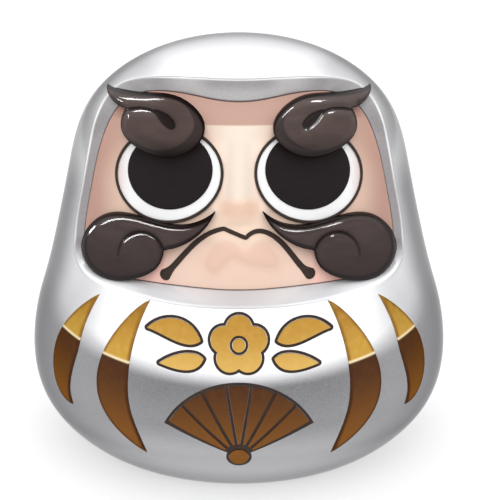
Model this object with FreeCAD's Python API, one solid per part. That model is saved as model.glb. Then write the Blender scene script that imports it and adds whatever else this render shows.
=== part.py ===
import FreeCAD, Part
import math
import os

# Daruma doll: a hollow silver-lacquered paper figure with a recessed face, seated eyes, glued brows and
# moustaches, gold inlays on the belly, and a clay weight in its base that makes it stand up again.
#
# Millimetres. +Z is up, the face looks along -Y, and the origin is the middle of the base.
# Left and right are the viewer's, so left is -X.

Vector = FreeCAD.Vector

# ---- Driving sizes ------------------------------------------------------------------------------

body_height = 150.0
body_width = 152.6
base_radius = 50.0  # of the flat ring that the doll stands on
heel_run = 4.0  # how far the underside stays flat past that ring

wall = 3.0  # paper shell

face_recess = 10.0  # how far the middle of the face lies behind the belly
face_axis_back = 20.0  # the face is rounder in plan than it is wide: its axis lies behind the body's
face_panel_thickness = 2.0

nose_width = 15.0
nose_height = 27.0
nose_reach = 5.0
nostril_width = 15.5
nostril_height = 11.0
lip_width = 17.0
lip_height = 11.0
lip_reach = 2.2
lip_spacing = 15.0

inlay_gap = 0.1  # between an inlay's edge and its seat
inlay_seat = 0.8  # depth of a seat
inlay_stand = 0.4  # how far an inlay stands proud

eye_width = 37.2
eye_height = 30.8
eye_tilt = 14.4  # degrees: the outer corners hang
eye_rim_width = 0.9
pupil_width = 29.0
pupil_height = 24.6
pupil_tilt = 16.0
pupil_stand = 0.9

brow_thickness = 6.0
brow_lap = 3.0  # thickness where a brow's tail lies on the hood
brow_hollow_depth = 2.2
moustache_thickness = 5.0
moustache_lap = 2.0
groove_width = 1.2
groove_depth = 1.2
mouth_line_width = 1.8
mouth_end_radius = 1.4

stripe_outer_turn = 52.0  # degrees from the front to the middle of the outer stripes
stripe_inner_turn = 32.0

crest_gap = 1.4  # between the hood's edge, the upper crest and the lower crest
crest_border = 1.0  # dark border around the gold
crest_border_stand = 0.1
petal_count = 5
petal_radius = 4.3
petal_distance = 5.1
blossom_eye_radius = 2.1
blade_count = 7
fan_radius = 26.0
fan_inner_radius = 5.5
fan_half_angle = 62.0
fan_blade_gap = 1.0
fan_height = fan_radius / math.cos(math.radians(fan_half_angle / blade_count))
fan_pivot_radius = 3.2

base_disc_radius = 43.0
base_disc_thickness = 1.5
base_disc_gap = 0.3
weight_radius = 39.5
weight_gap = 0.3
weight_height = 20.0
weight_dome = 4.0

# ---- Outlines -----------------------------------------------------------------------------------
# Points are percentages: across the half width of the body, and up its height. Each list is the
# control polygon of a smooth curve, and a list that follows another starts where that one ended.

body_profile = [(103.5, 11), (99, 36), (92.5, 42.5), (80, 70.5), (72.5, 89.5), (29.5, 100), (0, 100)]

# Left half of the face opening, from the top to the bottom: its outer edge on the hood and its
# inner edge on the face.
hood_edge = [(0, 93.5), (-11, 93.5), (-22, 93.75), (-58, 92.25), (-66.5, 80.5), (-70, 69),
             (-79, 49.75), (-54, 48.5), (-25, 47.25), (-9.5, 47.25), (0, 47.25)]
face_edge = [(0, 88.25), (-9.5, 88.25), (-21.5, 90), (-52, 90), (-62.5, 77.75), (-66, 68.25),
             (-73.5, 50), (-50.5, 49.75), (-23, 49.5), (-9, 49), (0, 49)]

eye_centre = (-30.5, 73.25)
pupil_centre = (-30, 73.75)
nose_centre = (0, 73.5)
nostril_centre = (0, 67.5)
lip_centre = (0, 55.5)

brow_outline = [
    [(-60, 90), (-54, 90), (-42.5, 89.5), (-24.5, 91), (-8.5, 84), (-27.5, 76.25), (-47.5, 79.5),
     (-54, 83), (-49.5, 86.75)],
    [(-49.5, 86.75), (-52, 86.25), (-61, 88.75), (-60, 90)],
]
brow_groove = [(-52, 85.75), (-44.5, 87), (-38.5, 88), (-34, 84.75)]
brow_hollow = [(-35, 86.25), (-33.5, 86.25), (-30, 86.75), (-26, 83.25), (-34, 83.5), (-34.5, 85.75),
               (-35, 86.25)]

moustache_outline = [
    [(-10, 66.5), (-14.5, 64.5), (-26, 62.25), (-44, 64.75), (-60.5, 64.75), (-75.5, 55),
     (-62.5, 48.25), (-41, 51), (-33.5, 53.75), (-32.5, 57.5)],
    [(-32.5, 57.5), (-23, 58.5), (-14, 62), (-10, 66.5)],
]
moustache_groove = [(-30.5, 56.75), (-35.5, 59.75), (-44.5, 62), (-52, 58.25), (-52.5, 56.25)]

mouth_curve = [
    [(-32, 51.75), (-24.5, 55.5), (-18, 61.25), (-6.5, 62.25)],
    [(-6.5, 62.25), (3, 60.25)],
    [(3, 60.25), (8, 63.25), (21, 59), (26, 53.75), (31, 52)],
]

stripe_outer = [
    [(15.5, 46.5), (12, 38), (4.5, 29), (4, 19.75)],
    [(4, 19.75), (-26.5, 18), (-4.5, 45.5), (15.5, 46.5)],
]
stripe_inner = [
    [(11, 47), (2.5, 36.25), (6, 23), (9, 12)],
    [(9, 12), (-21, 15.25), (-17, 42), (11, 47)],
]

# The crest's right leaves, in millimetres from the middle of the blossom.
upper_leaf = [
    [(12.5, 1), (15, 8.5), (24, 9.5), (30, 3.5)],
    [(30, 3.5), (24, 2.5), (17, -2.5), (12.5, 1)],
]
lower_leaf = [
    [(11.5, -4.5), (14, -1.5), (21, -3), (26, -7)],
    [(26, -7), (19, -9), (13.5, -9.5), (11.5, -4.5)],
]


def across(percent):
    return percent / 100 * body_width / 2


def up(percent):
    return percent / 100 * body_height


def placed(points):
    """Percentages as points of the front plane."""
    return [Vector(across(x), 0, up(z)) for x, z in points]


# ---- Curves, flat shapes and prisms -------------------------------------------------------------


def spline(points):
    """A smooth curve that starts and ends on its control polygon."""
    degree = min(3, len(points) - 1)
    inner_knots = len(points) - degree - 1
    multiplicities = [degree + 1] + [1] * inner_knots + [degree + 1]
    curve = Part.BSplineCurve()
    curve.buildFromPolesMultsKnots(points, multiplicities, list(range(inner_knots + 2)), False, degree)
    return curve


def flat(curves):
    """The flat shape inside curves that follow each other, each given by its control points."""
    edges = [spline(points).toShape() for points in curves]
    return Part.Face(Part.Wire(Part.__sortEdges__(edges)))


def mirrored(shape):
    return shape.mirror(Vector(0, 0, 0), Vector(1, 0, 0))


def ellipse(centre, width, height, tilt):
    """An ellipse in the front plane, turned so that its right end rises by tilt degrees."""
    shape = Part.Face(Part.Wire([Part.Ellipse(Vector(0, 0, 0), width / 2, height / 2).toShape()]))
    shape.rotate(Vector(0, 0, 0), Vector(1, 0, 0), 90)
    shape.rotate(Vector(0, 0, 0), Vector(0, 1, 0), -tilt)
    shape.translate(Vector(centre.x, 0, centre.z))
    return shape


def disc(centre, radius):
    return Part.Face(Part.Wire([Part.Circle(centre, Vector(0, 1, 0), radius).toShape()]))


def joined(shapes):
    """One shape from several that overlap, without the seams between them."""
    return shapes[0].multiFuse(shapes[1:]).removeSplitter()


def prism(shape, turn=0.0):
    """A flat shape pushed forward from the front plane past the body, then turned about the body's axis."""
    solid = shape.extrude(Vector(0, -body_width, 0))
    solid.rotate(Vector(0, 0, 0), Vector(0, 0, 1), turn)
    return solid


def grown(shape, amount):
    """A flat shape with its edge moved out by amount, as plain splines."""
    return Part.makeCompound([face.makeOffset2D(amount) for face in shape.Faces]).toNurbs()


# ---- The body's surface -------------------------------------------------------------------------

profile_points = [Vector(base_radius, 0, 0), Vector(base_radius + heel_run, 0, 0)] + placed(body_profile)
profile = spline(profile_points)
wall_steps = 24


def profile_beside(distance):
    """The profile moved outwards by distance, measured level."""
    return spline([Vector(max(point.x + distance, 0), 0, point.z) for point in profile_points])


def profile_inside(depth):
    """The profile moved inwards by depth, measured square to itself."""
    first, last = profile.FirstParameter, profile.LastParameter
    points = []
    for step in range(wall_steps + 1):
        at = first + (last - first) * step / wall_steps
        along = profile.tangent(at)[0]
        points.append(profile.value(at) - Vector(along.z, 0, -along.x) * depth)
    points[0].x = base_radius
    points[-1].x = 0
    curve = Part.BSplineCurve()
    curve.interpolate(points)
    return curve


def radius_at(height):
    """The body's radius at a height."""
    low, high = profile.FirstParameter, profile.LastParameter
    for _ in range(50):
        middle = (low + high) / 2
        if profile.value(middle).z < height:
            low = middle
        else:
            high = middle
    return profile.value(low).x


def revolved(curve, axis_back=0.0):
    """A solid of revolution from a curve that runs from the bottom to the top."""
    start = curve.value(curve.FirstParameter)
    end = curve.value(curve.LastParameter)
    corners = [end, Vector(0, 0, end.z), Vector(0, 0, start.z), start]
    edges = [curve.toShape()]
    for a, b in zip(corners, corners[1:]):
        if (a - b).Length > 1e-6:
            edges.append(Part.LineSegment(a, b).toShape())
    solid = Part.Face(Part.Wire(edges)).revolve(Vector(0, 0, 0), Vector(0, 0, 1), 360)
    solid.translate(Vector(0, axis_back, 0))
    return solid


def body_solid(rise=0.0):
    """Everything inside the body's outer surface, with the surface moved out by rise."""
    return revolved(profile_beside(rise))


def face_solid(rise=0.0):
    """Everything behind the face's surface, with the surface moved forward by rise."""
    return revolved(profile_beside(face_axis_back - face_recess + rise), face_axis_back)


def on_body(point):
    """The point of the body's front that a point of the front plane lies behind."""
    return Vector(point.x, -math.sqrt(radius_at(point.z) ** 2 - point.x ** 2), point.z)


def on_face(point):
    radius = radius_at(point.z) + face_axis_back - face_recess
    return Vector(point.x, face_axis_back - math.sqrt(radius ** 2 - point.x ** 2), point.z)


# ---- The face opening ---------------------------------------------------------------------------

opening_steps = 32
opening_overrun = 0.1  # the sloping edge is cut this share past both of its ends


def opening_wire(point_at):
    """A closed wire through point_at(share) on the left half of the opening and its mirror image."""
    left = [point_at(step / opening_steps) for step in range(opening_steps + 1)]
    curve = Part.BSplineCurve()
    curve.interpolate(left)
    half = curve.toShape()
    return Part.Wire([half, mirrored(half)])


def opening_tool():
    """The space of the face opening: straight in front, sloping at the hood's edge, straight behind."""
    outer = spline(placed(hood_edge))
    inner = spline(placed(face_edge))

    def slope(share, along):
        outer_at = outer.FirstParameter + share * (outer.LastParameter - outer.FirstParameter)
        inner_at = inner.FirstParameter + share * (inner.LastParameter - inner.FirstParameter)
        hood_point = on_body(outer.value(outer_at))
        face_point = on_face(inner.value(inner_at))
        return face_point + (hood_point - face_point) * along

    def outer_point(share):
        return slope(share, 1 + opening_overrun)

    def inner_point(share):
        return slope(share, -opening_overrun)

    def front_point(share):
        point = outer_point(share)
        return Vector(point.x, -body_width, point.z)

    def back_point(share):
        point = inner_point(share)
        return Vector(point.x, 0, point.z)

    wires = [opening_wire(at) for at in (front_point, outer_point, inner_point, back_point)]
    return Part.makeLoft(wires, True, True)


def hood_backing():
    """The space that the hollow inside leaves around the face: its panel and a wall behind it."""
    left = placed(hood_edge)
    middle = (left[0] + left[-1]) * 0.5
    points = [point + (point - middle).normalize() * wall for point in left]
    points[0].x = 0
    points[-1].x = 0
    half = spline(points).toShape()
    outline = Part.Face(Part.Wire([half, mirrored(half)]))
    return prism(outline).cut(face_solid(-face_panel_thickness - wall))


# ---- Inlays and their seats ---------------------------------------------------------------------


class Surface:
    """A surface that inlays are set into, with its solids kept by how far they rise."""

    def __init__(self, solid_at):
        self.solid_at = solid_at
        self.kept = {}

    def inside(self, rise):
        if rise not in self.kept:
            self.kept[rise] = self.solid_at(rise)
        return self.kept[rise]

    def layer(self, tool, low, high):
        """The part of a prism between two rises of the surface."""
        return tool.common(self.inside(high)).cut(self.inside(low))

    def seat(self, tool, low):
        """The part of a prism outside a rise of the surface."""
        return tool.cut(self.inside(low))


body = Surface(body_solid)
face = Surface(face_solid)


def inlay(surface, shape, turn=0.0, low=-inlay_seat, high=inlay_stand):
    """An inlay of a flat shape, and the seat that it needs."""
    piece = surface.layer(prism(shape, turn), low, high)
    seat = surface.seat(prism(grown(shape, inlay_gap), turn), low)
    return piece, seat


def ellipsoid(centre, width, reach, height, lean):
    """An ellipsoid whose top leans back by lean degrees."""
    matrix = FreeCAD.Matrix()
    matrix.scale(Vector(width / 2, reach, height / 2))
    matrix.rotateX(math.radians(-lean))
    matrix.move(centre)
    return Part.makeSphere(1.0).transformGeometry(matrix)


# ---- Face ---------------------------------------------------------------------------------------


def face_lean(height):
    """How far the face leans back at a height, in degrees."""
    rise = 1.0
    return math.degrees(math.atan2(radius_at(height - rise) - radius_at(height + rise), 2 * rise))


def face_relief():
    """Nose and lower lip."""
    forms = []
    sizes = [(nose_centre, 0, nose_width, nose_height, nose_reach),
             (nostril_centre, 0, nostril_width, nostril_height, nose_reach),
             (lip_centre, -lip_spacing / 2, lip_width, lip_height, lip_reach),
             (lip_centre, lip_spacing / 2, lip_width, lip_height, lip_reach)]
    for centre, aside, width, height, reach in sizes:
        point = placed([centre])[0] + Vector(aside, 0, 0)
        form = ellipsoid(on_face(point), width, reach, height, face_lean(point.z))
        forms.append(form.cut(face.inside(-face_panel_thickness / 2)))
    return forms


def eye():
    """The left eye: rim, white and pupil, and the seat that the three share in the face."""
    centre = placed([eye_centre])[0]
    rim_shape = ellipse(centre, eye_width, eye_height, eye_tilt)
    inner_size = (eye_width - 2 * eye_rim_width, eye_height - 2 * eye_rim_width)
    white_shape = ellipse(centre, *inner_size, eye_tilt)
    pupil_shape = ellipse(placed([pupil_centre])[0], pupil_width, pupil_height, pupil_tilt)
    white, white_seat = inlay(face, white_shape)
    pupil, pupil_seat = inlay(face, pupil_shape, low=0, high=pupil_stand)
    rim, eye_seat = inlay(face, rim_shape, high=pupil_stand)
    return {"rim": rim.cut(white_seat), "white": white.cut(pupil_seat), "pupil": pupil}, eye_seat


def band(curves, width):
    """A flat strip under curves that follow each other, width deep, with its ends upright."""
    lowered = [[point - Vector(0, 0, width) for point in points] for points in curves]
    first, last = curves[0][0], curves[-1][-1]
    ends = [[first, lowered[0][0]], [last, lowered[-1][-1]]]
    return flat(curves + lowered + ends)


def mouth():
    curves = [placed(points) for points in mouth_curve]
    middle = Vector(0, 0, mouth_line_width / 2)
    ends = [disc(point - middle, mouth_end_radius) for point in (curves[0][0], curves[-1][-1])]
    return joined([band(curves, mouth_line_width)] + ends)


# ---- Brows and moustaches -----------------------------------------------------------------------


def glued(outline, thickness, lap, marks):
    """A thick piece that fills the space from the face and the hood out to its own front surface.

    Each mark is a flat shape and the depth that it is sunk to.
    """
    piece = prism(flat([placed(points) for points in outline]))
    piece = piece.common(face.inside(thickness)).common(body.inside(lap)).cut(face.inside(0))
    for shape, depth in marks:
        piece = piece.cut(prism(shape).cut(face.inside(thickness - depth)))
    return piece


# ---- Crests -------------------------------------------------------------------------------------


def blossom(centre):
    """The gold and the dark backing of a five-petalled flower with two leaves on each side."""
    spread = math.radians(180 / petal_count)

    def around(angle, radius):
        return centre + Vector(math.sin(angle), 0, math.cos(angle)) * radius

    def petals(radius):
        """Round petals whose outlines meet half way between them."""
        notch = petal_distance * math.cos(spread)
        notch += math.sqrt(radius ** 2 - (petal_distance * math.sin(spread)) ** 2)
        arcs = []
        for index in range(petal_count):
            middle = 2 * spread * index
            ends = around(middle - spread, notch), around(middle + spread, notch)
            arcs.append(Part.Arc(ends[0], around(middle, petal_distance + radius), ends[1]).toShape())
        return Part.Face(Part.Wire(arcs))

    leaves = []
    for leaf in (upper_leaf, lower_leaf):
        right = flat([[Vector(x, 0, z) + centre for x, z in points] for points in leaf])
        leaves += [right, mirrored(right)]
    ring = disc(centre, blossom_eye_radius + crest_border)
    gold = [petals(petal_radius).cut(ring), disc(centre, blossom_eye_radius)] + leaves
    backing = [petals(petal_radius + crest_border)] + [grown(leaf, crest_border) for leaf in leaves]
    return gold, backing


def fan(pivot):
    """The gold and the dark backing of an open folding fan."""
    spread = 2 * fan_half_angle / blade_count

    def around(degrees, radius, aside=0.0):
        angle = math.radians(degrees)
        out = Vector(math.sin(angle), 0, math.cos(angle))
        return pivot + out * radius + Vector(out.z, 0, -out.x) * aside

    def blade(middle):
        inner = fan_inner_radius * math.tan(math.radians(spread / 2)) - fan_blade_gap / 2
        outer = fan_radius * math.tan(math.radians(spread / 2)) - fan_blade_gap / 2
        corners = [around(middle, fan_inner_radius, -inner), around(middle, fan_inner_radius, inner),
                   around(middle, fan_radius, outer), around(middle, fan_radius, -outer)]
        crown = around(middle, fan_height)
        edges = [Part.LineSegment(corners[0], corners[1]).toShape(),
                 Part.LineSegment(corners[1], corners[2]).toShape(),
                 Part.Arc(corners[2], crown, corners[3]).toShape(),
                 Part.LineSegment(corners[3], corners[0]).toShape()]
        return Part.Face(Part.Wire(edges))

    gold = [disc(pivot, fan_pivot_radius)]
    gold += [blade(fan_half_angle - spread * (index + 0.5)) for index in range(blade_count)]
    side = fan_half_angle + math.degrees(crest_border / fan_radius)
    foot, top = fan_pivot_radius + crest_border, fan_height + crest_border
    edges = [Part.LineSegment(around(-side, foot), around(-side, top)).toShape(),
             Part.Arc(around(-side, top), around(0, top), around(side, top)).toShape(),
             Part.LineSegment(around(side, top), around(side, foot)).toShape(),
             Part.Arc(around(side, foot), around(180, foot), around(-side, foot)).toShape()]
    return gold, [Part.Face(Part.Wire(edges))]


def crest(gold, backing):
    """Gold shapes set in a dark backing, the backing, and its seat in the body."""
    pieces, pieces_seat = inlay(body, Part.makeCompound(gold), low=-inlay_seat / 2)
    border, seat = inlay(body, Part.makeCompound(backing), high=crest_border_stand)
    return pieces, border.cut(pieces_seat), seat


# ---- Base ---------------------------------------------------------------------------------------


def base_weight():
    """A clay plug with a domed top, standing on the base disc."""
    straight = weight_height - weight_dome
    rim = Vector(weight_radius, 0, base_disc_thickness + straight)
    crown = Vector(0, 0, base_disc_thickness + weight_height)
    dome = spline([rim, Vector(weight_radius, 0, crown.z), crown])
    foot = Vector(weight_radius, 0, base_disc_thickness)
    middle = Vector(0, 0, base_disc_thickness)
    edges = [Part.LineSegment(middle, foot).toShape(), Part.LineSegment(foot, rim).toShape(),
             dome.toShape(), Part.LineSegment(crown, middle).toShape()]
    return Part.Face(Part.Wire(edges)).revolve(Vector(0, 0, 0), Vector(0, 0, 1), 360)


def base_cuts():
    """The hole that the weight goes in through, and the rebate of the disc."""
    hole = Part.makeCylinder(weight_radius + weight_gap, 2 * wall, Vector(0, 0, -wall))
    rebate_radius = base_disc_radius + base_disc_gap
    rebate = Part.makeCylinder(rebate_radius, wall + base_disc_thickness, Vector(0, 0, -wall))
    return [hole, rebate]


# ---- Assembly -----------------------------------------------------------------------------------

nodes = {}
shell_cuts = base_cuts()
panel_cuts = []

opening = opening_tool().cut(face_solid(-face_panel_thickness))

eye_parts, eye_seat = eye()
for part, shape in eye_parts.items():
    nodes[f"eye_{part}_left"] = shape
    nodes[f"eye_{part}_right"] = mirrored(shape)
panel_cuts += [eye_seat, mirrored(eye_seat)]

nodes["mouth_line"], mouth_seat = inlay(face, mouth())
panel_cuts.append(mouth_seat)

stripes = {"outer": (stripe_outer, stripe_outer_turn), "inner": (stripe_inner, stripe_inner_turn)}
for place, (outline, turn) in stripes.items():
    shape = flat([placed(points) for points in outline])
    piece, seat = inlay(body, shape, -turn)
    nodes[f"stripe_left_{place}"] = piece
    nodes[f"stripe_right_{place}"] = mirrored(piece)
    shell_cuts += [seat, mirrored(seat)]

hood_bottom = up(hood_edge[-1][1])
blossom_half_height = petal_distance + petal_radius + crest_border
blossom_centre = Vector(0, 0, hood_bottom - crest_gap - blossom_half_height)
fan_top = blossom_centre.z - blossom_half_height - crest_gap
fan_pivot = Vector(0, 0, fan_top - crest_border - fan_height)
for name, shapes in {"upper_crest": blossom(blossom_centre), "lower_crest": fan(fan_pivot)}.items():
    nodes[name], nodes[name + "_border"], seat = crest(*shapes)
    shell_cuts.append(seat)

hollow = revolved(profile_inside(wall)).cut(hood_backing())
nodes["body_shell"] = body_solid().cut(hollow).cut(opening).cut(shell_cuts)
relief = face_relief()
nodes["face_panel"] = opening.common(face_solid()).multiFuse(relief).cut(panel_cuts)

under_glued = [body_solid().cut(opening)] + relief + [nodes[f"eye_{part}_left"] for part in eye_parts]
brow_marks = [(band([placed(brow_groove)], groove_width), groove_depth),
              (flat([placed(brow_hollow)]), brow_hollow_depth)]
moustache_marks = [(band([placed(moustache_groove)], groove_width), groove_depth)]
glued_pieces = {
    "eyebrow": glued(brow_outline, brow_thickness, brow_lap, brow_marks),
    "moustache": glued(moustache_outline, moustache_thickness, moustache_lap, moustache_marks),
}
for name, piece in glued_pieces.items():
    seated = piece.cut(under_glued)
    nodes[name + "_left"] = seated
    nodes[name + "_right"] = mirrored(seated)

nodes["base_weight"] = base_weight()
nodes["base_disc"] = Part.makeCylinder(base_disc_radius, base_disc_thickness)

os.makedirs("parts", exist_ok=True)
for name, shape in nodes.items():
    solids = shape.Solids
    whole = solids[0] if len(solids) == 1 else Part.makeCompound(solids)
    whole.exportStep(f"parts/{name}.step")
    print(f"{name}: {len(solids)} solid(s), {whole.Volume:.1f} mm3, valid {whole.isValid()}")
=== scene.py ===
"""Daruma doll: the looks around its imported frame.

Metres, +Z up, and the face looks along -Y. Outlines are the control points of smooth curves, as
percentages across the half width of the body and up its height.
"""

import math

import bpy
import numpy as np
from mathutils import Matrix, Vector
from mathutils.geometry import delaunay_2d_cdt


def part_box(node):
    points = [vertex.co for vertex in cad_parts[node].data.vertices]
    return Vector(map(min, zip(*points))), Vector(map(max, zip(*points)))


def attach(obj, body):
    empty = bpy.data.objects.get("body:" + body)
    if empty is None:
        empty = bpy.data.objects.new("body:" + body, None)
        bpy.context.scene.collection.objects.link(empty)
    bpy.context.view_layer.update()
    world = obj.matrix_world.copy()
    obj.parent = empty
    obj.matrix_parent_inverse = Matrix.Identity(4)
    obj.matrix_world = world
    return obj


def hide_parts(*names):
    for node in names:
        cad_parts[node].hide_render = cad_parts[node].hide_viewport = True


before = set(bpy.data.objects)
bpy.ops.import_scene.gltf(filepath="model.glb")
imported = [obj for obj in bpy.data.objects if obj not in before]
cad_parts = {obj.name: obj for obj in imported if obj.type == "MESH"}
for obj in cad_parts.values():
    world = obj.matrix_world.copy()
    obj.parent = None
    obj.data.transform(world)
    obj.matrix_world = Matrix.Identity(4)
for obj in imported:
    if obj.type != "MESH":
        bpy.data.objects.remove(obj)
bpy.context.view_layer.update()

MM = 0.001

# ---- Sizes

body_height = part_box("body_shell")[1].z
half_width = 76.3 * MM
base_radius = 50 * MM
heel_run = 4 * MM
wall = 3 * MM

face_recess = 10 * MM
face_axis_back = 20 * MM
face_thickness = 2 * MM

eye_size = (37.2 * MM, 30.8 * MM)
eye_tilt = 14.4
eye_rim_width = 0.95 * MM
pupil_size = (29 * MM, 24.6 * MM)
pupil_tilt = 16.0

brow_thickness = 6 * MM
moustache_thickness = 5 * MM
lap_step = 3 * MM  # how much thinner brows and moustaches are on the hood

stripe_outer_turn = 52.0
stripe_inner_turn = 32.0

disc_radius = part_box("base_disc")[1].x
disc_gap = 0.3 * MM
disc_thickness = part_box("base_disc")[1].z
weight_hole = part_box("base_weight")[1].x + 0.3 * MM

# ---- Outlines

body_profile = [(103.5, 11), (99, 36), (92.5, 42.5), (80, 70.5), (72.5, 89.5), (29.5, 100), (0, 100)]

hood_edge = [(0, 93.5), (-11, 93.5), (-22, 93.75), (-58, 92.25), (-66.5, 80.5), (-70, 69),
             (-79, 49.75), (-54, 48.5), (-25, 47.25), (-9.5, 47.25), (0, 47.25)]
face_edge = [(0, 88.25), (-9.5, 88.25), (-21.5, 90), (-52, 90), (-62.5, 77.75), (-66, 68.25),
             (-73.5, 50), (-50.5, 49.75), (-23, 49.5), (-9, 49), (0, 49)]

eye_centre = (-30.75, 72.9)
pupil_centre = (-30.1, 73.85)

brow_outline = [
    [(-60.5, 89.5), (-54.5, 89.5), (-43, 89), (-25, 90.25), (-8.9, 83), (-27.75, 75.3), (-48.25, 78.6),
     (-54.5, 82.5), (-50, 86.25)],
    [(-50, 86.25), (-52.5, 85.75), (-61.5, 88.25), (-60.5, 89.5)],
]
brow_fold = [(-50, 86), (-45.5, 86.75), (-40.5, 86.75), (-36.75, 86.5), (-34.5, 85.5)]
brow_hollow = [(-36.5, 86.5), (-32.5, 86.25), (-29, 85.25), (-27.25, 83.75), (-28.75, 83), (-32, 83.75),
               (-34.5, 85), (-36.5, 86.5)]

moustache_outline = [
    [(-10.25, 65.75), (-14.5, 63.75), (-26, 61.5), (-44, 64), (-60.5, 64), (-75.75, 54.75),
     (-62.5, 47.75), (-41, 50.5), (-33.25, 53.5), (-32.5, 57)],
    [(-32.5, 57), (-23, 57.9), (-14, 61.25), (-10.25, 65.75)],
]
moustache_fold = [(-32.5, 57), (-33.5, 58.75), (-37, 60.5), (-42.5, 61), (-48.5, 60), (-52.5, 57.5),
                  (-53, 55.25)]

mouth_curve = [
    [(-32, 51.75), (-24.5, 55.5), (-18, 61.25), (-6.5, 62.25)],
    [(-6.5, 62.25), (3, 60.25)],
    [(3, 60.25), (8, 63.25), (21, 59), (26, 53.75), (31, 52)],
]

lip_outline = [(-15, 55), (-11, 58.75), (-5, 60.25), (-1, 58.5), (2.5, 56.5), (6, 58.5), (9, 60),
               (13, 58.5), (19, 54.5), (15, 53), (10, 54), (6, 54), (2, 54.75), (-2, 56), (-6, 54.5),
               (-10, 52), (-14, 52.5), (-15, 55)]

stripe_outer = [
    [(15.75, 46.5), (9.25, 39.5), (12.5, 33.75), (2, 23.25), (5.5, 19.5)],
    [(5.5, 19.5), (-7.25, 19), (-19.25, 34.25), (11, 45.25), (15.75, 46.5)],
]
stripe_inner = [
    [(11.5, 47.5), (8.5, 44.25), (5.5, 36.5), (4.75, 23.25), (10.75, 16.5), (10.75, 12)],
    [(10.75, 12), (7.75, 12.75), (-15.25, 21.25), (-10.5, 37.25), (7, 46.75), (11.5, 47.5)],
]

# ---- Curves


def placed(points):
    """Percentages as points of the front plane."""
    return np.array([(x / 100 * half_width, z / 100 * body_height) for x, z in points])


def spline(points, count):
    """Points along the smooth curve of some control points, from end to end."""
    points = np.asarray(points, float)
    degree = min(3, len(points) - 1)
    spans = len(points) - degree
    knots = np.concatenate([np.zeros(degree), np.arange(spans + 1), np.full(degree, spans)])
    at = np.linspace(0, spans, count)
    span = np.minimum(at.astype(int), spans - 1) + degree
    poles = np.stack([points[span - degree + k] for k in range(degree + 1)])
    for level in range(1, degree + 1):
        for k in range(degree, level - 1, -1):
            low = knots[span - degree + k]
            high = knots[span + 1 + k - level]
            share = ((at - low) / (high - low))[:, None]
            poles[k] = poles[k - 1] * (1 - share) + poles[k] * share
    return poles[degree]


def evenly(points, spacing):
    """The same line with its points evenly spaced."""
    steps = np.linalg.norm(np.diff(points, axis=0), axis=1)
    along = np.concatenate([[0], np.cumsum(steps)])
    at = np.linspace(0, along[-1], max(2, math.ceil(along[-1] / spacing) + 1))
    return np.stack([np.interp(at, along, points[:, k]) for k in range(points.shape[1])], axis=1)


def loop_of(curves, spacing):
    """A closed outline from the control points of curves that follow each other."""
    parts = [evenly(spline(placed(points), 400), spacing)[:-1] for points in curves]
    return np.concatenate(parts)


def ellipse(centre, size, tilt, spacing):
    count = math.ceil(math.pi * sum(size) / 2 / spacing)
    angle = np.linspace(0, 2 * math.pi, count, endpoint=False)
    x, z = size[0] / 2 * np.cos(angle), size[1] / 2 * np.sin(angle)
    cos, sin = math.cos(math.radians(tilt)), math.sin(math.radians(tilt))
    return np.stack([centre[0] + x * cos - z * sin, centre[1] + x * sin + z * cos], axis=1)


def area_of(loop):
    x, z = loop.T
    return (x * np.roll(z, -1) - np.roll(x, -1) * z).sum() / 2


def mirrored(loop):
    return loop * (-1, 1)


def both_halves(edge):
    """A closed outline from the control points of its left half."""
    left = spline(placed(edge), 160)
    return np.concatenate([left, mirrored(left)[-2:0:-1]])


def unit(vectors):
    return vectors / np.linalg.norm(vectors, axis=1)[:, None]


def along_loop(loop):
    """The direction of a closed line at each of its points."""
    return unit(np.roll(loop, -1, axis=0) - np.roll(loop, 1, axis=0))


def left_of(along):
    """Directions turned a quarter to their left."""
    return np.stack([-along[:, 1], along[:, 0]], axis=1)


def distance(points, line, closed=True):
    """Distance from each point to a line through points."""
    starts = line if closed else line[:-1]
    runs = (np.roll(line, -1, axis=0) if closed else line[1:]) - starts
    lengths = np.maximum((runs ** 2).sum(axis=1), 1e-18)
    nearest = np.full(len(points), np.inf)
    for start, run, length in zip(starts, runs, lengths):
        offset = points - start
        share = np.clip((offset @ run) / length, 0, 1)
        gap = offset - share[:, None] * run
        nearest = np.minimum(nearest, (gap ** 2).sum(axis=1))
    return np.sqrt(nearest)


def inside(points, loop):
    """Which points lie inside a closed outline."""
    x, z = points.T
    within = np.zeros(len(points), bool)
    for (x0, z0), (x1, z1) in zip(loop, np.roll(loop, -1, axis=0)):
        if z0 == z1:
            continue
        crosses = (z0 > z) != (z1 > z)
        within ^= crosses & (x < (x1 - x0) * (z - z0) / (z1 - z0) + x0)
    return within


def between_loops(points, loops):
    """Which points lie inside the first outline and outside the others."""
    keep = inside(points, loops[0])
    for hole in loops[1:]:
        keep &= ~inside(points, hole)
    return keep


def gap_to(points, loops):
    """Distance from each point to the nearest of several outlines."""
    return np.min([distance(points, loop) for loop in loops], axis=0)


# ---- Surfaces of body and face

least_depth = 5 * MM  # a front stays this far before its axis
heel = [(base_radius, 0), (base_radius + heel_run, 0)]
profile = spline(np.vstack([heel, placed(body_profile)]), 4000)


def radius(z):
    """The body's radius at a height."""
    return np.interp(z, profile[:, 1], profile[:, 0])


def level_depth(x, reach, axis):
    """How far back the front of a circle of that reach lies, at x."""
    return axis - np.sqrt(np.maximum(reach ** 2 - x ** 2, least_depth ** 2))


def body_front(x, z, rise=0.0):
    return level_depth(x, radius(z) + rise, 0)


def face_front(x, z, rise=0.0):
    return level_depth(x, radius(z) + face_axis_back - face_recess + rise, face_axis_back)


def lapped_front(x, z, rise=0.0):
    """The face's surface, and the hood's where a piece laps over it."""
    blend = 1.5 * MM
    a, b = face_front(x, z, rise), body_front(x, z, rise - lap_step)
    return (a + b + np.sqrt((a - b) ** 2 + blend ** 2)) / 2


# ---- Meshes

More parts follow.
